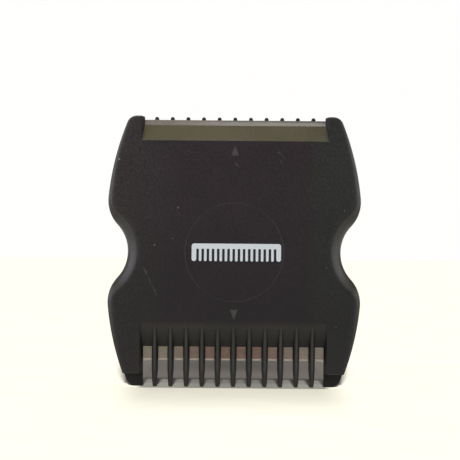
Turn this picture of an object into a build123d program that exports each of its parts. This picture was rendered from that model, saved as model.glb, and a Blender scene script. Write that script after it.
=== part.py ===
from build123d import *
import os
from math import cos, radians, sin, sqrt, tan

# Two-ended razor comb: two moulded halves clamp a thin steel blade at each end.
# It stands upright on its long tines. +Z is up, -Y is the front, and the halves meet on the plane Y = 0.
# The origin is under the middle of the object, at the level of the lowest tips. Units are millimetres.

# Outline
HEIGHT = 64.5
MID = HEIGHT / 2
WAIST_HALF = 25.4
BULGE_HALF = 30.0
BULGE_RISE = 12.1
BULGE_RADIUS = 9.0
BULGE_MIDDLE_DEG = -15.0
SIDE_RADIUS = 65.0
SIDE_START_DEG = 5.7
CORNER_RADIUS = 2.5

# Moulded halves
SHELL_DEPTH = 4.5
RIM_RADIUS = 0.5
SEAM_CHAMFER = 0.15
FACE_WALL = 1.6
SIDE_WALL = 1.8
CAVITY_HALF_HEIGHT = 15.4
CAVITY_CORNER = 1.5

# A larger block with a wide round is laid over each half. It meets the outline in the notches and draws away
# from it above and below them, so the soft rim is widest under thumb and finger and narrows towards the ends.
SOFTENER_RADIUS = 3.4
SOFTENER_BULGE_HALF = 31.4
SOFTENER_SIDE_START_DEG = 3.2
SOFTENER_HALF_HEIGHT = 36.0

# Mouth between the ears at each end
MOUTH_HALF = 21.6
MOUTH_DRAFT_DEG = 8.2
MOUTH_EDGE_ROUND = 0.2
MOUTH_EDGE_LEAST = 2.0
EAR_STEP = 3.3
EAR_EDGE_ROUND = 0.4

# Blades, and how each half meets them. Distances along Z are counted from the blade's cutting edge.
BLADE_LENGTH = 46.5
BLADE_WIDTH = 9.0
BLADE_THICKNESS = 0.25
BEVEL_WIDTH = 0.45
LONG_EDGE_INSET = 6.25
SHORT_EDGE_INSET = 0.75
RECESS_DEPTH = 0.28
RECESS_CLEARANCE = 0.1
LIP_SETBACK = 1.35
LIP_THICKNESS = 0.75
SLOPE_FOOT_SETBACK = 3.32
SLOPE_HEAD_SETBACK = 9.5
SLOPE_FOOT_THICKNESS = 0.8
SLOPE_SAGITTA = 0.45
PEG_SETBACK = 6.0
PEG_X = 14.0
PEG_RADIUS = 1.45
PEG_LENGTH = 1.7
PEG_CHAMFER = 0.25
PEG_HOLE_CLEARANCE = 0.05

# Tines
TINE_COUNT = 11
TINE_PITCH = 3.75
TINE_HALF_WIDTH = 0.78
TINE_DRAFT_DEG = 5.0
TIP_HALF_WIDTH = 0.45
TIP_ROUND = 0.4
TIP_BACK_ROUND = 1.1
TIP_FLAT_END = 1.7
CREST_DEPTH = 4.0
CREST_SETBACK = 7.6
ROOT_SETBACK = 8.2
LONG_TIP = 0.0
LONG_NOSE = 4.2
LONG_NOSE_DEPTH = 3.45
SHORT_TIP = 0.0
SHORT_NOSE = 2.8
SHORT_NOSE_DEPTH = 3.1
NOSE_SAGITTA = 0.35
CREST_ROUND = 0.32

# Screws from the rear
SCREW_X = 17.5
SCREW_RISE = 13.0
SCREW_RADIUS = 1.0
SCREW_ROOT_RADIUS = 0.78
SCREW_LENGTH = 5.2
SCREW_TIP = 0.9
SCREW_TIP_RADIUS = 0.26
THREAD_PITCH = 0.7
THREAD_START = 0.3
HEAD_RADIUS = 1.9
HEAD_HEIGHT = 1.4
HEAD_ROUND = 0.6
HEAD_SEAT = 2.2
CROSS_SPAN = 2.3
CROSS_WIDTH = 0.55
CROSS_DEPTH = 0.9
PILOT_CLEARANCE = 0.02
PILOT_SPARE = 0.2
SHANK_CLEARANCE = 0.2
HEAD_CLEARANCE = 0.3
FRONT_BOSS_RADIUS = 2.7
REAR_BOSS_RADIUS = 3.4

# Ribs and lightening pockets inside
RIB_THICKNESS = 1.1
RIB_GAP = 0.25
RIB_RISE = 7.0
RIB_X = 8.0
LIGHTENING_WIDTH = 5.4
LIGHTENING_PITCH = 7.0
LIGHTENING_HEIGHT = 3.2
LIGHTENING_SETBACK = 0.6
LIGHTENING_DEPTH = 1.7
LIGHTENING_ROUND = 0.8

# Fine marks moulded into the front face
RING_RADIUS = 11.8
RING_WIDTH = 0.22
RING_DEPTH = 0.06
MARK_DEPTH = 0.15
MARK_HALF_WIDTH = 0.9
MARK_HALF_HEIGHT = 1.3
SHORT_MARK_Z = 56.5
LONG_MARK_Z = 17.35

# How far cutters reach past what they cut, how far added bodies sink in to join, and a matching tolerance
REACH = 2.0
OVERLAP = 0.2
MATCH = 0.01

# Every flat profile is drawn looking at the front: first along X, then along Z from the middle of the height.
FACE_PLANE = Plane(origin=(0, 0, MID), x_dir=(1, 0, 0), z_dir=(0, -1, 0))
# Side profiles are drawn on the plane X = 0: first along Y, then along Z.
SIDE_PLANE = Plane(origin=(0, 0, 0), x_dir=(0, 1, 0), z_dir=(1, 0, 0))

# The notch arc and the bulge arc touch, which fixes the notch radius.
WAIST_STEP = BULGE_HALF - WAIST_HALF
NOTCH_RADIUS = (WAIST_STEP**2 + BULGE_RISE**2) / (2 * WAIST_STEP) - BULGE_RADIUS
NOTCH_X = WAIST_HALF + NOTCH_RADIUS
# The softener keeps that notch, so its bulge needs a tighter arc.
SOFTENER_STEP = SOFTENER_BULGE_HALF - WAIST_HALF
SOFTENER_BULGE_RADIUS = (SOFTENER_STEP**2 + BULGE_RISE**2) / (2 * SOFTENER_STEP) - NOTCH_RADIUS


def arc_point(centre, radius, degrees):
    """Point on a circle at an angle above the X direction."""
    return (centre[0] + radius * cos(radians(degrees)), centre[1] + radius * sin(radians(degrees)))


def flipped(points, x_sign, z_sign):
    """The same points mirrored left to right, top to bottom, or both."""
    return [(x_sign * x, z_sign * z) for x, z in points]


def waisted_shape(bulge_half, bulge_radius, side_start_deg, half_height):
    """Face with waisted sides that swell to a bulge, then run in to square corners."""
    notch = (NOTCH_X, 0)
    bulge = (bulge_half - bulge_radius, BULGE_RISE)
    share = NOTCH_RADIUS / (NOTCH_RADIUS + bulge_radius)
    notch_end = (notch[0] + (bulge[0] - notch[0]) * share, bulge[1] * share)
    bulge_middle = arc_point(bulge, bulge_radius, BULGE_MIDDLE_DEG)
    bulge_end = arc_point(bulge, bulge_radius, side_start_deg)
    side = arc_point(bulge, bulge_radius - SIDE_RADIUS, side_start_deg)
    corner = (side[0] + sqrt(SIDE_RADIUS**2 - (half_height - side[1]) ** 2), half_height)
    side_middle_z = (bulge_end[1] + half_height) / 2
    side_middle = (side[0] + sqrt(SIDE_RADIUS**2 - (side_middle_z - side[1]) ** 2), side_middle_z)
    edges = []
    for x_sign in (1, -1):
        edges.append(ThreePointArc(*flipped([(notch_end[0], -notch_end[1]), (WAIST_HALF, 0), notch_end], x_sign, 1)))
        for z_sign in (1, -1):
            edges.append(ThreePointArc(*flipped([notch_end, bulge_middle, bulge_end], x_sign, z_sign)))
            edges.append(ThreePointArc(*flipped([bulge_end, side_middle, corner], x_sign, z_sign)))
    for z_sign in (1, -1):
        edges.append(Line(*flipped([corner, (-corner[0], corner[1])], 1, z_sign)))
    return make_face(edges)


def outline():
    """Front outline with its rounded corners."""
    face = waisted_shape(BULGE_HALF, BULGE_RADIUS, SIDE_START_DEG, MID)
    corners = face.vertices().filter_by(lambda v: abs(abs(v.Y) - MID) < MATCH)
    return fillet(corners, CORNER_RADIUS)


def across(profile, half_width):
    """Side profile pulled out to both sides of the middle."""
    return extrude(SIDE_PLANE * profile, half_width, both=True)


def rod(radius, y_start, y_end, x, z):
    """Cylinder lying along Y."""
    return Pos(x, (y_start + y_end) / 2, z) * Rot(90, 0, 0) * Cylinder(radius, abs(y_end - y_start))


def block(x_range, y_range, z_range):
    """Box given by its limits."""
    size = [high - low for low, high in (x_range, y_range, z_range)]
    centre = [(high + low) / 2 for low, high in (x_range, y_range, z_range)]
    return Pos(*centre) * Box(*size)


def rim_softener():
    """Larger waisted block whose sides are widely rounded at the face."""
    shape = waisted_shape(SOFTENER_BULGE_HALF, SOFTENER_BULGE_RADIUS, SOFTENER_SIDE_START_DEG, SOFTENER_HALF_HEIGHT)
    body = extrude(FACE_PLANE * shape, SHELL_DEPTH)
    rim = body.faces().sort_by(Axis.Y)[0].edges().filter_by(lambda e: abs(e.center().Z - MID) < MID)
    return fillet(rim, SOFTENER_RADIUS)


def solid_half():
    """One half before its mouths are cut: full outline, rounded face rim and a fine seam chamfer."""
    body = extrude(FACE_PLANE * outline(), SHELL_DEPTH)
    body = fillet(body.faces().sort_by(Axis.Y)[0].edges(), RIM_RADIUS)
    return chamfer(body.faces().sort_by(Axis.Y)[-1].edges(), SEAM_CHAMFER)


def mouth(profile):
    """Cutter for the gap between the ears; the ears' inner walls lean back a little for the mould."""
    spread = MOUTH_HALF + (SHELL_DEPTH + REACH) * tan(radians(MOUTH_DRAFT_DEG))
    narrow = MOUTH_HALF - REACH * tan(radians(MOUTH_DRAFT_DEG))
    front = -SHELL_DEPTH - REACH
    plan = make_face(Polyline((-narrow, REACH), (narrow, REACH), (spread, front), (-spread, front), close=True))
    walls = extrude(Pos(0, 0, -REACH) * plan, HEIGHT + 2 * REACH)
    return walls & across(profile, spread + REACH)


def lip_profile(edge_inset):
    """Side view of what is cut away in front of the blade at the plain end: a 45 degree slope to a thin lip."""
    lip_z = HEIGHT - edge_inset - LIP_SETBACK
    slope_run = SHELL_DEPTH + REACH - LIP_THICKNESS
    points = [(-SHELL_DEPTH - REACH, lip_z - slope_run), (-LIP_THICKNESS, lip_z), (REACH, lip_z)]
    points += [(REACH, HEIGHT + REACH), (-SHELL_DEPTH - REACH, HEIGHT + REACH)]
    return make_face(Polyline(*points, close=True))


def slope_profile(edge_inset):
    """Side view of what is cut away at the tine end: the face rolls back to a thin edge over the blade."""
    head_z = edge_inset + SLOPE_HEAD_SETBACK
    foot_z = edge_inset + SLOPE_FOOT_SETBACK
    foot_y = -SLOPE_FOOT_THICKNESS
    curve = SagittaArc((-SHELL_DEPTH, head_z), (foot_y, foot_z), -SLOPE_SAGITTA)
    below = Polyline((foot_y, foot_z), (REACH, foot_z), (REACH, -REACH), (-SHELL_DEPTH - REACH, -REACH))
    above = Polyline((-SHELL_DEPTH - REACH, -REACH), (-SHELL_DEPTH - REACH, head_z), (-SHELL_DEPTH, head_z))
    return make_face([curve, below, above])


def tine(edge_inset, tip_z, nose_height, nose_depth):
    """One tine at X = 0: flat back on the blade, drafted flanks, a sloping crest and a rounded nose."""
    root_z = edge_inset + ROOT_SETBACK
    crest_z = edge_inset + CREST_SETBACK
    flank = [(TINE_HALF_WIDTH, root_z), (TINE_HALF_WIDTH, tip_z + nose_height), (TIP_HALF_WIDTH, tip_z + TIP_ROUND)]
    tip = ThreePointArc(flank[2], (0, tip_z), (-TIP_HALF_WIDTH, tip_z + TIP_ROUND))
    top = Line(flank[0], (-TINE_HALF_WIDTH, root_z))
    front_view = Pos(0, -MID) * make_face([Polyline(*flank), Polyline(*flipped(flank, -1, 1)), tip, top])

    back = RadiusArc((0, tip_z + TIP_BACK_ROUND), (-TIP_BACK_ROUND, tip_z), TIP_BACK_ROUND)
    flat = Line((-TIP_BACK_ROUND, tip_z), (-TIP_FLAT_END, tip_z))
    nose = SagittaArc((-TIP_FLAT_END, tip_z), (-nose_depth, tip_z + nose_height), NOSE_SAGITTA)
    crest = Polyline((-nose_depth, tip_z + nose_height), (-CREST_DEPTH, crest_z), (-CREST_DEPTH, root_z))
    spine = Polyline((-CREST_DEPTH, root_z), (0, root_z), (0, tip_z + TIP_BACK_ROUND))
    side_view = make_face([back, flat, nose, crest, spine])

    crest_half = TINE_HALF_WIDTH - CREST_DEPTH * tan(radians(TINE_DRAFT_DEG))
    corners = [(-TINE_HALF_WIDTH, 0), (TINE_HALF_WIDTH, 0), (crest_half, -CREST_DEPTH), (-crest_half, -CREST_DEPTH)]
    wedge = extrude(make_face(Polyline(*corners, close=True)), HEIGHT)

    body = extrude(FACE_PLANE * front_view, SHELL_DEPTH) & across(side_view, TINE_PITCH / 2) & wedge
    crest_faces = body.faces().filter_by(lambda f: f.center().Y < -CREST_DEPTH / 2 and abs(f.center().X) < MATCH)
    crest_edges = [edge for face in crest_faces for edge in face.edges() if abs(edge.center().X) > MATCH]
    return fillet(crest_edges, CREST_ROUND)


def cavity():
    """Hollow behind the face, the same depth everywhere."""
    window = Rectangle(2 * BULGE_HALF, 2 * CAVITY_HALF_HEIGHT)
    shape = offset(outline(), -SIDE_WALL) & window
    corners = shape.vertices().filter_by(lambda v: abs(abs(v.Y) - CAVITY_HALF_HEIGHT) < MATCH)
    return extrude(FACE_PLANE * fillet(corners, CAVITY_CORNER), SHELL_DEPTH - FACE_WALL)


def ribs():
    """Stiffening ribs on the back of the face: two across and two upright, short of the parting plane."""
    floor_y = FACE_WALL - SHELL_DEPTH
    y_range = (floor_y - OVERLAP, -RIB_GAP)
    half_width = WAIST_HALF - SIDE_WALL / 2
    across_ribs = Part()
    for z in (MID - RIB_RISE, MID + RIB_RISE):
        across_ribs += block((-half_width, half_width), y_range, (z - RIB_THICKNESS / 2, z + RIB_THICKNESS / 2))
    for x in (-RIB_X, RIB_X):
        z_half = CAVITY_HALF_HEIGHT + OVERLAP
        across_ribs += block((x - RIB_THICKNESS / 2, x + RIB_THICKNESS / 2), y_range, (MID - z_half, MID + z_half))
    return across_ribs


def lightening_pockets(z):
    """Row of shallow pockets under the back of a blade, between its pegs."""
    shape = RectangleRounded(LIGHTENING_WIDTH, LIGHTENING_HEIGHT, LIGHTENING_ROUND)
    pocket = extrude(FACE_PLANE * shape, LIGHTENING_DEPTH)
    row = Part()
    for step in (-1, 0, 1):
        row += Pos(step * LIGHTENING_PITCH, 0, z - MID) * pocket
    return row


def moulded_half(tine_inset, plain_inset, tip_z, nose_height, nose_depth, tine_back):
    """A half with its tines at the lower end and its plain lip at the upper end."""
    body = solid_half()
    body -= mouth(lip_profile(plain_inset))
    body -= mouth(slope_profile(tine_inset))
    mouth_edges = body.faces().sort_by(Axis.Y)[0].edges().filter_by(GeomType.LINE)
    body = fillet(mouth_edges.filter_by(lambda e: e.length > MOUTH_EDGE_LEAST), MOUTH_EDGE_ROUND)
    for side in (-1, 1):
        step_cut = block((MOUTH_HALF - OVERLAP, BULGE_HALF), (-SHELL_DEPTH - REACH, REACH), (-REACH, EAR_STEP))
        body -= step_cut if side == 1 else mirror(step_cut, Plane.YZ)
    ear_ends = body.faces().filter_by(Axis.Z).filter_by(lambda f: abs(f.center().Z - EAR_STEP) < MATCH)
    body = fillet([face.edges().sort_by(Axis.Y)[0] for face in ear_ends], EAR_EDGE_ROUND)
    body &= rim_softener()
    body -= cavity()
    body += ribs() & extrude(FACE_PLANE * offset(outline(), -SIDE_WALL / 2), SHELL_DEPTH)
    one_tine = tine(tine_inset, tip_z, nose_height, nose_depth)
    if tine_back > 0:
        one_tine -= block((-TINE_PITCH, TINE_PITCH), (-tine_back, REACH), (-REACH, HEIGHT))
    for index in range(TINE_COUNT):
        body += Pos((index - (TINE_COUNT - 1) / 2) * TINE_PITCH, 0, 0) * one_tine
    blade_back = BLADE_WIDTH - LIGHTENING_HEIGHT / 2 - LIGHTENING_SETBACK
    for pocket_z in (tine_inset + blade_back, HEIGHT - plain_inset - blade_back):
        body -= lightening_pockets(pocket_z)
    return body


def screw_places():
    """Name and place of each screw, left and right as seen from the front."""
    for level, z in (("upper", MID + SCREW_RISE), ("lower", MID - SCREW_RISE)):
        for side, x in (("left", -SCREW_X), ("right", SCREW_X)):
            yield f"screw_{level}_{side}", x, z


def blade_pegs():
    """Middle of each locating peg."""
    for z in (LONG_EDGE_INSET + PEG_SETBACK, HEIGHT - SHORT_EDGE_INSET - PEG_SETBACK):
        for x in (-PEG_X, PEG_X):
            yield x, z


def face_marks():
    """Fine ring round the printed badge, and a small arrowhead that points to each end."""
    ring = Circle(RING_RADIUS) - Circle(RING_RADIUS - RING_WIDTH)
    face = FACE_PLANE.offset(SHELL_DEPTH)
    cut = extrude(face * ring, -RING_DEPTH)
    arrowhead = [(-MARK_HALF_WIDTH, -MARK_HALF_HEIGHT), (MARK_HALF_WIDTH, -MARK_HALF_HEIGHT), (0, MARK_HALF_HEIGHT)]
    for z, z_sign in ((SHORT_MARK_Z, 1), (LONG_MARK_Z, -1)):
        shape = make_face(Polyline(*flipped(arrowhead, 1, z_sign), close=True))
        cut += extrude(face * (Pos(0, z - MID) * shape), -MARK_DEPTH)
    return cut


def front_shell():
    """Front half: long tines below, plain lip above, blade pegs and threaded bosses inside."""
    body = moulded_half(LONG_EDGE_INSET, SHORT_EDGE_INSET, LONG_TIP, LONG_NOSE, LONG_NOSE_DEPTH, 0)
    floor_y = FACE_WALL - SHELL_DEPTH
    for _, x, z in screw_places():
        body += rod(FRONT_BOSS_RADIUS, floor_y - OVERLAP, 0, x, z)
        body -= rod(SCREW_RADIUS + PILOT_CLEARANCE, HEAD_SEAT - SCREW_LENGTH - PILOT_SPARE, REACH, x, z)
    for x, z in blade_pegs():
        peg = rod(PEG_RADIUS, -OVERLAP, PEG_LENGTH, x, z)
        body += chamfer(peg.faces().sort_by(Axis.Y)[-1].edges(), PEG_CHAMFER)
    return body - face_marks()


def rear_shell():
    """Rear half: short teeth above, plain lip below, blade recesses, peg sockets and screw seats."""
    body = moulded_half(SHORT_EDGE_INSET, LONG_EDGE_INSET, SHORT_TIP, SHORT_NOSE, SHORT_NOSE_DEPTH, RECESS_DEPTH)
    body = Pos(0, 0, HEIGHT) * Rot(180, 0, 0) * body
    half_length = BLADE_LENGTH / 2 + RECESS_CLEARANCE
    for edge_z, back_z in ((LONG_EDGE_INSET, 1), (HEIGHT - SHORT_EDGE_INSET, -1)):
        z_limits = sorted((edge_z - back_z * RECESS_CLEARANCE, edge_z + back_z * (BLADE_WIDTH + RECESS_CLEARANCE)))
        body -= block((-half_length, half_length), (-REACH, RECESS_DEPTH), z_limits)
    for x, z in blade_pegs():
        body -= rod(PEG_RADIUS + PEG_HOLE_CLEARANCE, -REACH, PEG_LENGTH + PILOT_SPARE, x, z)
    for _, x, z in screw_places():
        body += rod(REAR_BOSS_RADIUS, 0, SHELL_DEPTH - FACE_WALL + OVERLAP, x, z)
        body -= rod(SCREW_RADIUS + SHANK_CLEARANCE, -REACH, SHELL_DEPTH, x, z)
        body -= rod(HEAD_RADIUS + HEAD_CLEARANCE, HEAD_SEAT, SHELL_DEPTH + REACH, x, z)
    return body


def blade(edge_z, back_sign):
    """Thin steel blade on the parting plane, ground to an edge, with two locating holes."""
    back_z = edge_z + back_sign * BLADE_WIDTH
    bevel_z = edge_z + back_sign * BEVEL_WIDTH
    points = [(0, back_z), (0, bevel_z), (BLADE_THICKNESS / 2, edge_z), (BLADE_THICKNESS, bevel_z)]
    points += [(BLADE_THICKNESS, back_z)]
    body = across(make_face(Polyline(*points, close=True)), BLADE_LENGTH / 2)
    for x in (-PEG_X, PEG_X):
        body -= rod(PEG_RADIUS + PEG_HOLE_CLEARANCE, -REACH, REACH, x, edge_z + back_sign * PEG_SETBACK)
    return body


def screw(x, z):
    """Small self-tapping screw: rounded head with a cross recess, ridged shank and a blunt point."""
    tip_y = HEAD_SEAT - SCREW_LENGTH
    head = rod(HEAD_RADIUS, HEAD_SEAT, HEAD_SEAT + HEAD_HEIGHT, 0, 0)
    head = fillet(head.faces().sort_by(Axis.Y)[-1].edges(), HEAD_ROUND)
    recess_y = HEAD_SEAT + HEAD_HEIGHT
    for turn in (0, 90):
        arm = Rot(0, turn, 0) * Box(CROSS_SPAN, 2 * CROSS_DEPTH, CROSS_WIDTH)
        head -= Pos(0, recess_y, 0) * arm
    neck_y = HEAD_SEAT - THREAD_START
    points = [(0, HEAD_SEAT + OVERLAP), (SCREW_ROOT_RADIUS, HEAD_SEAT + OVERLAP), (SCREW_ROOT_RADIUS, neck_y)]
    ridge_count = int((SCREW_LENGTH - SCREW_TIP - THREAD_START) / THREAD_PITCH)
    for index in range(ridge_count):
        ridge_y = neck_y - (index + 0.5) * THREAD_PITCH
        points.append((SCREW_RADIUS, ridge_y))
        points.append((SCREW_ROOT_RADIUS, ridge_y - THREAD_PITCH / 2))
    points += [(SCREW_TIP_RADIUS, tip_y), (0, tip_y)]
    shank = revolve(make_face(Polyline(*points, close=True)), Axis.Y)
    return Pos(x, 0, z) * (head + shank)


def main():
    nodes = {
        "front_shell": front_shell(),
        "rear_shell": rear_shell(),
        "short_cut_blade": blade(HEIGHT - SHORT_EDGE_INSET, -1),
        "long_cut_blade": blade(LONG_EDGE_INSET, 1),
    }
    for name, x, z in screw_places():
        nodes[name] = screw(x, z)
    for name, shape in nodes.items():
        export_step(shape, f"parts/{name}.step")
        box = shape.bounding_box()
        print(name, len(shape.solids()), round(shape.volume, 2), box.min, box.max)


os.makedirs("parts", exist_ok=True)
main()
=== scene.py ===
import math

import bmesh
import bpy
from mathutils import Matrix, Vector


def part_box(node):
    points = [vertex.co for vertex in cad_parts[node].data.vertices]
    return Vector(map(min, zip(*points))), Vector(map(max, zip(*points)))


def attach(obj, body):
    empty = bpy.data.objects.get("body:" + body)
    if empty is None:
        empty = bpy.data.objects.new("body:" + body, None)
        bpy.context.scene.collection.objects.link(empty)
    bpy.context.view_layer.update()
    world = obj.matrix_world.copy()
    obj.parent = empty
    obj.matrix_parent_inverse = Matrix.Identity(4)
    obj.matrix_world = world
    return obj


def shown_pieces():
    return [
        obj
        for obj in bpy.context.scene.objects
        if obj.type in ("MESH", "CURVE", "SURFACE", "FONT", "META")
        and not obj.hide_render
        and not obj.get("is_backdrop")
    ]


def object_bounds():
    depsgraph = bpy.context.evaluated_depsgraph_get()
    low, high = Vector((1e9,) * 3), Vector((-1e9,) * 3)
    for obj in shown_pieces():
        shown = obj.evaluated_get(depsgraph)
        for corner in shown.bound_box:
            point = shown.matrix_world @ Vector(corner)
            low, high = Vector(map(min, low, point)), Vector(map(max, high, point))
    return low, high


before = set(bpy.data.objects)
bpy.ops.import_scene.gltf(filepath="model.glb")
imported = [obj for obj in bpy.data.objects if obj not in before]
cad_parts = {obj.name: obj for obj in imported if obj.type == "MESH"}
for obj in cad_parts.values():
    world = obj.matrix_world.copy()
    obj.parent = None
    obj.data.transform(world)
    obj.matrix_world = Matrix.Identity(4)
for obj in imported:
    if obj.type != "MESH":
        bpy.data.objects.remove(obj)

# A two-ended razor comb standing on its long tines, its front face towards -Y.
# Lengths are in metres in the frame's own axes. Inside materials, places are in millimetres.
MM = 0.001
CAD_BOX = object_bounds()
MIDDLE = (Vector(CAD_BOX[0]) + Vector(CAD_BOX[1])) / 2
FRONT_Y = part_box("front_shell")[0].y

# Camera: level, in front of the face, a little left of the middle and above it, and barely rolled.
CAMERA_DISTANCE = 0.45
CAMERA_X = -0.00105
CAMERA_Z = 0.0375
CAMERA_ROLL_DEG = -0.5
CAMERA_CLIP_START = 0.01
VIEW_WIDTH = 0.1102
SENSOR_WIDTH = 36.0

# Backdrop as seen, the dim room around it, and the table's bounce onto the comb
BACKDROP = (1.0, 0.995, 0.985, 1.0)
ROOM_LIGHT = (0.205, 0.188, 0.19, 1.0)
TABLE_BOUNCE_NEAR = (0.50, 0.48, 0.43, 1.0)
TABLE_BOUNCE_FAR = (0.20, 0.195, 0.18, 1.0)
TABLE_BOUNCE_SIDES = (0.75, 0.75, 0.72, 1.0)
TABLE_RADIUS = 2.0

# Softboxes that light the comb alone: place, width, height, radiance and colour
SOFTBOXES = {
    "left_window": ((-0.5, -0.16, 0.08), 0.6, 0.6, 3.4, (0.88, 0.87, 1.0)),
    "right_wall": ((0.5, -0.16, 0.08), 0.6, 0.6, 2.6, (0.98, 1.0, 0.99)),
    "warm_ceiling": ((-0.1, -0.04, 0.5), 0.5, 0.4, 1.55, (1.0, 0.88, 0.41)),
    "near_top": ((-0.05, -0.07, 0.17), 0.15, 0.06, 1.8, (1.0, 0.95, 0.9)),
    "back_wall": ((0, 0.6, 0.25), 0.8, 0.5, 0.25, (1.0, 1.0, 1.0)),
}

# The lamp that lights the table alone, from in front of the comb
KEY_ELEVATION_DEG = 16.5
KEY_SPREAD_DEG = 4
KEY_STRENGTH = 11.4
KEY_COLOUR = (1.0, 0.99, 0.96)

# Printed badge: a plain comb pictogram
BADGE_HALF_LENGTH = 10.6 * MM
BADGE_HEIGHT = 4.2 * MM
BADGE_SPINE = 1.25 * MM
BADGE_GUARD = 1.1 * MM
BADGE_TOOTH = 0.62 * MM
BADGE_TEETH = 15
BADGE_CORNER = 0.6 * MM
BADGE_CENTRE = Vector((0.5 * MM, 0, 32.15 * MM))
INK_THICKNESS = 0.02 * MM

# What follows is in millimetres, for the materials. A name in _X, _Y or _Z with two numbers is a soft step
# along that axis, from where it starts to where it ends. The steps along X and TEXTURED_Y are measured from
# the middle, on both sides.
MIDDLE_Z = MIDDLE.z / MM
BLADE_LOW_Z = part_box("long_cut_blade")[0].z / MM
BLADE_HIGH_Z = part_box("short_cut_blade")[1].z / MM
UPPER_HALF_Z = (MIDDLE_Z - 1, MIDDLE_Z + 1)

# Zones of the plastic
TEXTURED_Y = (3.9, 4.3)
RIM_X = (22.7, 23.2)
BETWEEN_EARS_X = (22.4, 22.7)
LOW_FOOT_X = (20.9, 21.1)
LOW_FOOT_Z = (3.2, 3.35)
HIGH_TIP_X = (21.2, 21.4)
HIGH_TIP_Z = (63.3, 63.5)
FRONT_HALF_Y = (-3.4, -3.0)

# Moulded marks on the front face: the ring and the floors of the two arrowheads
RING_RADIUS = 11.7
RING_EDGE = (0.08, 0.20)
RING_STRENGTH = 0.20
ARROW_FLOOR_Y = FRONT_Y / MM + 0.15
ARROW_FLOOR_EDGE = (0.05, 0.07)
ARROW_X = (1.3, 1.5)
ARROW_LOWEST_Z = (15.9, 16.0)

# Scratches on the front face: the x and z of the upper end, the lean from the vertical in degrees, the length
# and the strength. Specks of lint: x, z and radius.
SCRATCHES = (
    (-21.6, 28.8, 25, 8.0, 0.55),
    (-0.2, 53.6, 43, 1.9, 0.35),
    (9.5, 57.0, 44, 4.0, 0.20),
    (10.6, 54.3, 17, 1.7, 0.20),
    (-14.3, 42.2, 52, 2.3, 0.20),
)
SCRATCH_EDGE = (0.05, 0.20)
SCRATCH_WANDER = 0.7
SCRATCH_LONGEST_TAPER = 0.8
SPECK_STRENGTH = 0.6
DUST_STRENGTH = 0.10
SPECKS = (
    (-27.5, 54.1, 0.32),
    (-13.4, 42.7, 0.20),
    (-14.6, 35.4, 0.13),
    (-18.9, 33.8, 0.22),
    (26.1, 42.3, 0.15),
    (21.9, 28.7, 0.13),
    (24.3, 14.7, 0.12),
)

# Distance from a blade's edge: the ground bevel ends, and a thin dark burr follows it.
BEVEL_END = (0.41, 0.46)
BURR_START = (0.42, 0.47)
BURR_END = (0.55, 0.68)
BURR_STRENGTH = 0.15

# Noise mostly stays within this range.
NOISE_SPREAD = (0.3, 0.7)


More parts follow.
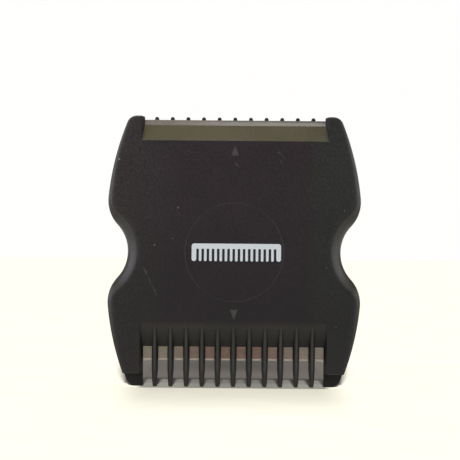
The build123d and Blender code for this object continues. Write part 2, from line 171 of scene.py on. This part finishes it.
class Graph:
    """A material under construction, with short calls for the shader nodes that this scene uses."""

    def __init__(self, name):
        self.material = bpy.data.materials.new(name)
        self.material.use_nodes = True
        self.tree = self.material.node_tree
        self.tree.nodes.clear()
        self.surface = self.tree.nodes.new("ShaderNodeBsdfPrincipled")
        output = self.tree.nodes.new("ShaderNodeOutputMaterial")
        self.tree.links.new(self.surface.outputs["BSDF"], output.inputs["Surface"])
        coordinates = self.tree.nodes.new("ShaderNodeTexCoord")
        place = coordinates.outputs["Object"]
        self.mm = self.node("ShaderNodeVectorMath", "Vector", operation="SCALE", Vector=place, Scale=1 / MM)
        self.x, self.y, self.z = self.split(self.mm)
        self.side_facing, self.facing, _ = self.split(coordinates.outputs["Normal"])
        self.from_centre = self.math("ABSOLUTE", self.x)

    def put(self, socket, value):
        """Sets a socket to a number or a colour, or links another socket to it."""
        if isinstance(value, bpy.types.NodeSocket):
            self.tree.links.new(value, socket)
        else:
            socket.default_value = value

    def node(self, kind, output, **values):
        """Adds a node. Names that are its properties are set first, and the rest are its inputs."""
        made = self.tree.nodes.new(kind)
        inputs = {}
        for name, value in values.items():
            if name[0].islower():
                setattr(made, name, value)
            else:
                inputs[name.replace("_", " ")] = value
        for name, value in inputs.items():
            self.put(made.inputs[name], value)
        return made.outputs[output]

    def split(self, vector):
        """The three parts of a vector."""
        made = self.tree.nodes.new("ShaderNodeSeparateXYZ")
        self.put(made.inputs["Vector"], vector)
        return made.outputs

    def math(self, operation, *values):
        """One step of arithmetic."""
        made = self.tree.nodes.new("ShaderNodeMath")
        made.operation = operation
        for socket, value in zip(made.inputs, values):
            self.put(socket, value)
        return made.outputs[0]

    def product(self, first, *others):
        """All the values multiplied together."""
        for other in others:
            first = self.math("MULTIPLY", first, other)
        return first

    def apart(self, first, second):
        """How far apart two values are."""
        return self.math("ABSOLUTE", self.math("SUBTRACT", first, second))

    def distance(self, x, z):
        """Distance from a point on the front view."""
        squares = []
        for value, middle in ((self.x, x), (self.z, z)):
            step = self.math("SUBTRACT", value, middle)
            squares.append(self.math("MULTIPLY", step, step))
        return self.math("SQRT", self.math("ADD", *squares))

    def ramp(self, value, span, to_low=0.0, to_high=1.0):
        """Smooth step of a value, over a span, from one number to another. It holds at its ends."""
        made = self.tree.nodes.new("ShaderNodeMapRange")
        made.interpolation_type = "SMOOTHSTEP"
        for name, setting in (("Value", value), ("From Min", span[0]), ("From Max", span[1])):
            self.put(made.inputs[name], setting)
        self.put(made.inputs["To Min"], to_low)
        self.put(made.inputs["To Max"], to_high)
        return made.outputs["Result"]

    def fall(self, value, span):
        """Smooth step from 1 down to 0."""
        return self.ramp(value, span, 1.0, 0.0)

    def noise(self, scale, detail=2.0, vector=None):
        """Noise with about so many features to the millimetre."""
        return self.node("ShaderNodeTexNoise", "Fac", Vector=vector or self.mm, Scale=scale, Detail=detail)

    def spread(self, noise, low, high):
        """A noise spread between two numbers."""
        return self.ramp(noise, NOISE_SPREAD, low, high)

    def stretched(self, x, y, z):
        """The place in millimetres, scaled by a different amount along each axis."""
        made = self.tree.nodes.new("ShaderNodeVectorMath")
        made.operation = "MULTIPLY"
        self.put(made.inputs[0], self.mm)
        made.inputs[1].default_value = (x, y, z)
        return made.outputs["Vector"]

    def mix(self, factor, first, second):
        """Number between two numbers."""
        return self.node("ShaderNodeMix", "Result", Factor=factor, A=first, B=second)

    def blend(self, factor, first, second):
        """Colour between two colours."""
        made = self.tree.nodes.new("ShaderNodeMix")
        made.data_type = "RGBA"
        self.put(made.inputs[0], factor)
        self.put(made.inputs[6], first)
        self.put(made.inputs[7], second)
        return made.outputs[2]

    def spot(self, x, z, radius):
        """1 inside a small soft spot on the front view, 0 outside it."""
        return self.fall(self.distance(x, z), (radius * 0.6, radius * 1.1))

    def dot(self, values, direction):
        """Sum of two values, each times its share of a direction."""
        first, second = [self.math("MULTIPLY", value, share) for value, share in zip(values, direction)]
        return self.math("ADD", first, second)

    def scratch(self, x, z, lean_deg, length, wander):
        """1 along a hairline on the front view, 0 away from it."""
        from_start = (self.math("SUBTRACT", self.x, x), self.math("SUBTRACT", self.z, z))
        lean = math.radians(lean_deg)
        along = self.dot(from_start, (math.sin(lean), -math.cos(lean)))
        across = self.math("ADD", self.dot(from_start, (math.cos(lean), math.sin(lean))), wander)
        line = self.fall(self.math("ABSOLUTE", across), SCRATCH_EDGE)
        taper = min(SCRATCH_LONGEST_TAPER, length / 4)
        return self.product(line, self.ramp(along, (0.0, taper)), self.fall(along, (length - taper, length)))

    def bump(self, height, strength, distance_mm, normal=None):
        """Normal that follows a height."""
        values = {"Height": height, "Strength": strength, "Distance": distance_mm * MM}
        if normal is not None:
            values["Normal"] = normal
        return self.node("ShaderNodeBump", "Normal", **values)

    def soft_edges(self, radius_mm):
        """Normal that rounds sharp edges a little."""
        return self.node("ShaderNodeBevel", "Normal", samples=6, Radius=radius_mm * MM)

    def finish(self, **values):
        """Wires the surface shader's inputs."""
        for name, value in values.items():
            self.put(self.surface.inputs[name.replace("_", " ")], value)
        return self.material


def grey(value, warmth=0.0):
    """Linear grey, warmer or cooler."""
    return (value * (1 + warmth), value, value * (1 - warmth), 1.0)


def plastic_colour(g, textured, mottle):
    """Black: faintly brown in the middle, neutral on the left, green on the right, with painted shade that
    darkens it towards the foot and painted light towards the top.
    """
    brown = (0.0180, 0.0100, 0.0158, 1.0)
    green = (0.0165, 0.0175, 0.0160, 1.0)
    neutral = (0.0250, 0.0195, 0.0200, 1.0)
    smooth_black = (0.0220, 0.0212, 0.0180, 1.0)
    brown_to_green = (18.0, 21.5)
    neutral_to_brown = (-27.0, -9.0)
    foot_to_top = (12.0, 60.0)

    sideways = g.math("ADD", g.x, g.math("MULTIPLY", g.noise(0.15), 3.0))
    base = g.blend(g.ramp(sideways, brown_to_green), brown, green)
    base = g.blend(g.fall(sideways, neutral_to_brown), base, neutral)
    base = g.blend(textured, smooth_black, base)
    cloud = g.spread(g.noise(0.08, 3.0), 0.85, 1.15)
    speckle = g.mix(textured, g.spread(mottle, 0.90, 1.10), g.spread(mottle, 0.55, 1.45))
    # Painted light: lighter towards the top and darker towards the foot, as the light falls from above.
    painted_light_by_height = g.ramp(g.z, foot_to_top, 0.60, 1.12)
    # Smooth faces are painted lighter than textured ones: partly their own tone, partly a painted highlight
    # for the table light the sloping cut-ins catch.
    shade = g.product(cloud, speckle, painted_light_by_height, g.ramp(textured, (0.0, 1.0), 1.5, 0.62))
    return g.node("ShaderNodeVectorMath", "Vector", operation="SCALE", Vector=base, Scale=shade)


def plastic_roughness(g, textured, grain, mottle):
    """Satin where textured, and smoother elsewhere but for the rims."""
    smooth = g.math("ADD", g.spread(g.noise(0.4), 0.28, 0.34), g.ramp(g.from_centre, RIM_X, 0.0, 0.12))
    rough = g.math("ADD", g.spread(grain, 0.37, 0.49), g.spread(mottle, 0.0, 0.06))
    return g.mix(textured, smooth, rough)


def dull_inner_faces_with_painted_shade(g, base, roughness):
    """Tine flanks, the ears' inner walls, the feet of the lower ears and the upper tips are dull, and painted
    dark as painted shade.
    """
    turned_sideways = g.ramp(g.math("ABSOLUTE", g.side_facing), (0.15, 0.5))
    inward = g.product(turned_sideways, g.fall(g.from_centre, BETWEEN_EARS_X))
    roughness = g.mix(inward, roughness, 0.7)
    # Painted shade: the sideways faces between the ears, down among the tines, are painted near black.
    base = g.blend(inward, base, grey(0.006))
    # Painted shade: the feet of the lower ears, under the front half's step, and the upper tips are painted
    # darker still.
    low_foot = g.product(g.ramp(g.from_centre, LOW_FOOT_X), g.fall(g.z, LOW_FOOT_Z))
    high_tip = g.product(g.ramp(g.z, HIGH_TIP_Z), g.fall(g.from_centre, HIGH_TIP_X))
    ends = g.math("MAXIMUM", low_foot, high_tip)
    return g.blend(ends, base, grey(0.004)), g.mix(ends, roughness, 0.65)


def moulded_marks(g, base, textured, front):
    """The ring is a fine pale line, and the floors of the two arrowheads are paler than the face."""
    off_ring = g.apart(g.distance(0.0, MIDDLE_Z), RING_RADIUS)
    ring = g.product(g.fall(off_ring, RING_EDGE), textured, front, RING_STRENGTH)
    base = g.blend(ring, base, grey(0.07))
    floor = g.fall(g.apart(g.y, ARROW_FLOOR_Y), ARROW_FLOOR_EDGE)
    floor = g.product(floor, g.fall(g.from_centre, ARROW_X), g.ramp(g.z, ARROW_LOWEST_Z))
    return g.blend(floor, base, grey(0.052, 0.06))


def wear(g, base, textured, front):
    """Pale scratches on the front, the longest on the left, a few lint specks and a thin film of dust."""
    wander = g.math("MULTIPLY", g.math("SUBTRACT", g.noise(0.5), 0.5), SCRATCH_WANDER)
    broken = g.product(g.ramp(g.noise(0.9), (0.35, 0.6)), textured, front)
    for x, z, lean_deg, length, strength in SCRATCHES:
        line = g.scratch(x, z, lean_deg, length, wander)
        base = g.blend(g.product(line, broken, strength), base, grey(0.11))
    specks = 0.0
    for x, z, radius in SPECKS:
        specks = g.math("ADD", specks, g.spot(x, z, radius))
    base = g.blend(g.product(specks, front, SPECK_STRENGTH), base, grey(0.2, 0.05))
    dust = g.ramp(g.noise(7.0, 4.0), (0.68, 0.80))
    return g.blend(g.product(dust, DUST_STRENGTH), base, grey(0.12))


def black_plastic():
    """Moulded satin black: textured broad faces, smoother cut-ins, dull inner faces with painted shade,
    painted light by height, marks and wear.
    """
    g = Graph("moulded_black_plastic")
    grain = g.noise(2.6, 3.0)
    mottle = g.noise(1.8, 3.0)

    # The broad front and back faces are textured. The sloping cut-ins, walls and tips are smoother.
    broad = g.ramp(g.math("ABSOLUTE", g.facing), (0.92, 0.975))
    textured = g.product(broad, g.ramp(g.math("ABSOLUTE", g.y), TEXTURED_Y))
    front = g.fall(g.y, FRONT_HALF_Y)
    base = plastic_colour(g, textured, mottle)
    roughness = plastic_roughness(g, textured, grain, mottle)
    base, roughness = dull_inner_faces_with_painted_shade(g, base, roughness)
    base = moulded_marks(g, base, textured, front)
    base = wear(g, base, textured, front)
    height = g.product(g.math("SUBTRACT", grain, 0.5), g.ramp(textured, (0.0, 1.0), 0.15, 1.0))
    normal = g.bump(height, strength=0.5, distance_mm=0.06, normal=g.soft_edges(0.14))
    return g.finish(Base_Color=base, Roughness=roughness, Normal=normal, IOR=1.49, Specular_IOR_Level=0.38)


def blade_steel():
    """Rolled razor strip, brushed along its length, with a brighter ground bevel that is partly a painted
    highlight, a lower blade painted darker as painted shade, and faint finger film.
    """
    g = Graph("razor_steel")
    roll_lines = g.noise(1.0, 4.0, g.stretched(0.15, 4.0, 14.0))
    grind = g.noise(1.0, 3.0, g.stretched(9.0, 1.0, 0.5))
    film = g.noise(0.12)
    upper_half = g.ramp(g.z, UPPER_HALF_Z)

    # The upper blade is darker on its left. The lower blade is painted much darker than the upper, as painted
    # shade under the slope and tines, with a painted brown reflection in the middle that turns greyer at its
    # ends.
    upper = g.blend(film, (0.475, 0.455, 0.42, 1.0), (0.455, 0.43, 0.395, 1.0))
    upper = g.blend(g.fall(g.x, (-18.0, 0.0)), upper, (0.34, 0.315, 0.28, 1.0))
    lower = g.blend(film, (0.165, 0.118, 0.092, 1.0), (0.155, 0.104, 0.090, 1.0))
    lower = g.blend(g.ramp(g.from_centre, (6.0, 19.0)), lower, (0.205, 0.180, 0.146, 1.0))
    base = g.blend(upper_half, lower, upper)

    above_low_edge = g.math("SUBTRACT", g.z, BLADE_LOW_Z)
    below_high_edge = g.math("SUBTRACT", BLADE_HIGH_Z, g.z)
    from_edge = g.math("MINIMUM", above_low_edge, below_high_edge)
    burr = g.product(g.ramp(from_edge, BURR_START), g.fall(from_edge, BURR_END), BURR_STRENGTH)
    base = g.blend(burr, base, (0.12, 0.11, 0.10, 1.0))
    # The ground bevel is a real grind. Its paler colour is a painted highlight where it catches light, and it
    # is painted darker on the lower blade as painted shade.
    ground = g.blend(upper_half, (0.50, 0.47, 0.41, 1.0), (0.24, 0.235, 0.22, 1.0))
    bevel = g.fall(from_edge, BEVEL_END)
    base = g.blend(bevel, base, ground)
    roughness = g.mix(bevel, g.spread(roll_lines, 0.26, 0.38), g.spread(grind, 0.30, 0.45))
    normal = g.bump(g.mix(bevel, roll_lines, grind), strength=0.15, distance_mm=0.02)
    return g.finish(Base_Color=base, Metallic=1.0, Roughness=roughness, Normal=normal)


def screw_steel():
    """Bright zinc plate, slightly mottled."""
    g = Graph("zinc_plate")
    base = g.blend(g.noise(1.2, 3.0), (0.62, 0.62, 0.64, 1.0), (0.52, 0.51, 0.49, 1.0))
    roughness = g.spread(g.noise(3.0, 3.0), 0.24, 0.40)
    normal = g.bump(g.noise(6.0), strength=0.12, distance_mm=0.03, normal=g.soft_edges(0.08))
    return g.finish(Base_Color=base, Metallic=1.0, Roughness=roughness, Normal=normal)


def badge_ink():
    """Pale blue-grey pad-printed ink with a slightly uneven coat."""
    g = Graph("pale_print_ink")
    coat = g.noise(2.5, 4.0)
    base = g.blend(coat, (0.56, 0.62, 0.67, 1.0), (0.66, 0.72, 0.77, 1.0))
    pinholes = g.ramp(g.noise(9.0, 3.0), (0.66, 0.74))
    base = g.blend(g.product(pinholes, 0.35), base, grey(0.2))
    normal = g.bump(g.noise(5.0, 3.0), strength=0.25, distance_mm=0.04)
    return g.finish(Base_Color=base, Roughness=g.spread(coat, 0.42, 0.55), Normal=normal)


def table_as_seen(g):
    """Cream, with painted shadow: a little deeper in front of the comb, and darkest in the comb's shadow as
    it shows between the tines.
    """
    cream = g.blend(g.noise(0.01, 3.0), (0.93, 0.915, 0.80, 1.0), (0.94, 0.925, 0.815, 1.0))
    front_shade = (0.45, 0.44, 0.36, 1.0)
    contact_shade = (0.06, 0.06, 0.052, 1.0)
    far_shade = (0.25, 0.24, 0.20, 1.0)

    # Painted shadow in front, deepening towards the comb's face.
    ahead = g.product(g.ramp(g.y, (-80, -4), 0.0, 0.60), g.fall(g.y, (-4.4, -3.6)))
    cream = g.blend(g.product(ahead, g.fall(g.from_centre, (19, 29))), cream, front_shade)

    # Painted shadow under the comb and just behind it, and again further back
    between_ears = g.fall(g.from_centre, (21.5, 23.5))
    under = g.product(g.ramp(g.y, (-5.6, -4.2)), g.fall(g.y, (21, 28)), between_ears)
    depth = g.product(g.ramp(g.y, (5, 13), 0.84, 0.92), g.ramp(g.from_centre, (8, 15), 1.0, 0.93))
    cream = g.blend(g.product(under, depth), cream, contact_shade)
    behind = g.product(g.ramp(g.y, (32, 66)), g.fall(g.y, (90, 120)), between_ears)
    return g.blend(g.product(behind, g.ramp(g.from_centre, (4, 18), 0.6, 0.25)), cream, far_shade)


def table_bounce(g):
    """What the table gives back to the comb: less further off, and most from well out to the sides."""
    flat_place = g.stretched(0.55, 1.0, 0.0)
    flat_distance = g.node("ShaderNodeVectorMath", "Value", operation="LENGTH", Vector=flat_place)
    bounce = g.blend(g.ramp(flat_distance, (20, 80)), TABLE_BOUNCE_NEAR, TABLE_BOUNCE_FAR)
    return g.blend(g.ramp(g.from_centre, (45, 90)), bounce, TABLE_BOUNCE_SIDES)


def table_paint():
    """Matt cream paint. It is duller to the comb than to the eye, which keeps the blacks deep."""
    g = Graph("cream_table")
    seen = g.tree.nodes.new("ShaderNodeLightPath").outputs["Is Camera Ray"]
    base = g.blend(seen, table_bounce(g), table_as_seen(g))
    roughness = g.spread(g.noise(0.05), 0.75, 0.9)
    normal = g.bump(g.noise(0.8), strength=0.05, distance_mm=0.05)
    return g.finish(Base_Color=base, Roughness=roughness, Normal=normal)


def rounded(corner, radius, start_deg, steps=4):
    """Points of a quarter circle whose square corner is given, from one angle to 90 degrees less."""
    turn = [math.radians(start_deg - 90 * step / steps) for step in range(steps + 1)]
    sign_x = 1 if math.cos(turn[0]) + math.cos(turn[-1]) > 0 else -1
    sign_z = 1 if math.sin(turn[0]) + math.sin(turn[-1]) > 0 else -1
    centre = (corner[0] - sign_x * radius, corner[1] - sign_z * radius)
    return [(centre[0] + radius * math.cos(a), centre[1] + radius * math.sin(a)) for a in turn]


def rounded_foot(left, right, bottom):
    """Points of a tooth's or a guard's half-round lower end, from its right to its left."""
    radius = (right - left) / 2
    return rounded((right, bottom), radius, 0) + rounded((left, bottom), radius, -90)


def comb_outline():
    """Closed outline of the badge, clockwise from its top left corner: spine, two guards, a row of teeth."""
    half = BADGE_HALF_LENGTH
    top = BADGE_HEIGHT / 2
    inner = half - BADGE_GUARD
    root = top - BADGE_SPINE
    gap = (2 * inner - BADGE_TEETH * BADGE_TOOTH) / (BADGE_TEETH + 1)
    points = rounded((-half, top), BADGE_CORNER, 180) + rounded((half, top), BADGE_CORNER, 90)
    points += rounded_foot(inner, half, -top)
    for index in range(BADGE_TEETH):
        right = inner - gap - index * (BADGE_TOOTH + gap)
        left = right - BADGE_TOOTH
        points += [(right + gap, root), (right, root)] + rounded_foot(left, right, -top) + [(left, root)]
    return points + [(-inner, root)] + rounded_foot(-half, -inner, -top)


def without_repeats(points, least=1e-7):
    """Drops points that repeat the one before them."""
    kept = []
    for point in points:
        if not kept or math.dist(point, kept[-1]) > least:
            kept.append(point)
    if math.dist(kept[0], kept[-1]) <= least:
        kept.pop()
    return kept


def make_badge():
    """Thin film of ink on the front face."""
    mesh = bpy.data.meshes.new("printed_badge")
    shape = bmesh.new()
    outline = without_repeats(comb_outline())
    ring = [shape.verts.new((BADGE_CENTRE.x + x, FRONT_Y, BADGE_CENTRE.z + z)) for x, z in outline]
    face = shape.faces.new(ring)
    bmesh.ops.recalc_face_normals(shape, faces=[face])
    pulled = bmesh.ops.extrude_face_region(shape, geom=[face])
    front = [item for item in pulled["geom"] if isinstance(item, bmesh.types.BMVert)]
    bmesh.ops.translate(shape, verts=front, vec=(0, -INK_THICKNESS, 0))
    bmesh.ops.recalc_face_normals(shape, faces=shape.faces[:])
    bmesh.ops.triangulate(shape, faces=[f for f in shape.faces if len(f.verts) > 4])
    shape.to_mesh(mesh)
    shape.free()
    badge = bpy.data.objects.new("printed_badge", mesh)
    bpy.context.scene.collection.objects.link(badge)
    mesh.materials.append(badge_ink())
    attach(badge, "front_half")


def dress_cad_nodes():
    """Gives every CAD node its material."""
    plastic = black_plastic()
    steel = blade_steel()
    zinc = screw_steel()
    for name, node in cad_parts.items():
        chosen = plastic
        if name.endswith("blade"):
            chosen = steel
        elif name.startswith("screw"):
            chosen = zinc
        for slot in node.material_slots:
            slot.material = chosen


def make_table():
    """Round pale table, wide enough to fill the view."""
    mesh = bpy.data.meshes.new("table")
    shape = bmesh.new()
    bmesh.ops.create_circle(shape, cap_ends=True, radius=TABLE_RADIUS, segments=96)
    shape.to_mesh(mesh)
    shape.free()
    table = bpy.data.objects.new("table", mesh)
    bpy.context.scene.collection.objects.link(table)
    mesh.materials.append(table_paint())
    table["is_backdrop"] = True
    return table


def make_camera():
    """Level camera whose frame is VIEW_WIDTH across at the comb."""
    data = bpy.data.cameras.new("camera")
    data.sensor_width = SENSOR_WIDTH
    data.lens = SENSOR_WIDTH * CAMERA_DISTANCE / VIEW_WIDTH
    data.clip_start = CAMERA_CLIP_START
    camera = bpy.data.objects.new("camera", data)
    camera.location = (CAMERA_X, -CAMERA_DISTANCE, CAMERA_Z)
    camera.rotation_euler = (math.radians(90), math.radians(CAMERA_ROLL_DEG), 0)
    bpy.context.scene.collection.objects.link(camera)
    bpy.context.scene.camera = camera


def make_softbox(name, receivers, place, width, height, radiance, colour):
    """Area light aimed at the comb. It lights only the objects in one collection."""
    data = bpy.data.lights.new(name, "AREA")
    data.shape = "RECTANGLE"
    data.size = width
    data.size_y = height
    data.energy = radiance * math.pi * width * height
    data.color = colour
    light = bpy.data.objects.new(name, data)
    light.location = place
    light.rotation_euler = (MIDDLE - Vector(place)).to_track_quat("-Z", "Y").to_euler()
    light.light_linking.receiver_collection = receivers
    bpy.context.scene.collection.objects.link(light)


def make_key(name, receivers):
    """Distant lamp in front of the comb, which throws its shadow back along the table."""
    data = bpy.data.lights.new(name, "SUN")
    data.energy = KEY_STRENGTH
    data.angle = math.radians(KEY_SPREAD_DEG)
    data.color = KEY_COLOUR
    light = bpy.data.objects.new(name, data)
    light.rotation_euler = (math.radians(90 - KEY_ELEVATION_DEG), 0, 0)
    light.light_linking.receiver_collection = receivers
    bpy.context.scene.collection.objects.link(light)


def collected(name, objects):
    """Collection that lights are limited to."""
    made = bpy.data.collections.new(name)
    for item in objects:
        made.objects.link(item)
    return made


def make_lights(table):
    """Softboxes for the comb, and one lamp for the table."""
    comb = collected("comb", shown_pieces())
    for name, settings in SOFTBOXES.items():
        make_softbox(name, comb, *settings)
    make_key("table_key", collected("floor", [table]))


def make_world():
    """White backdrop to the eye, in a room whose own light is dim."""
    world = bpy.data.worlds.new("room")
    bpy.context.scene.world = world
    world.use_nodes = True
    tree = world.node_tree
    tree.nodes.clear()
    output = tree.nodes.new("ShaderNodeOutputWorld")
    mix = tree.nodes.new("ShaderNodeMixShader")
    path = tree.nodes.new("ShaderNodeLightPath")
    tree.links.new(path.outputs["Is Camera Ray"], mix.inputs["Fac"])
    for socket, colour in ((mix.inputs[1], ROOM_LIGHT), (mix.inputs[2], BACKDROP)):
        background = tree.nodes.new("ShaderNodeBackground")
        background.inputs["Color"].default_value = colour
        tree.links.new(background.outputs["Background"], socket)
    tree.links.new(mix.outputs["Shader"], output.inputs["Surface"])


bpy.context.scene.view_settings.view_transform = "Standard"
make_camera()
make_world()
table = make_table()
dress_cad_nodes()
make_badge()
make_lights(table)
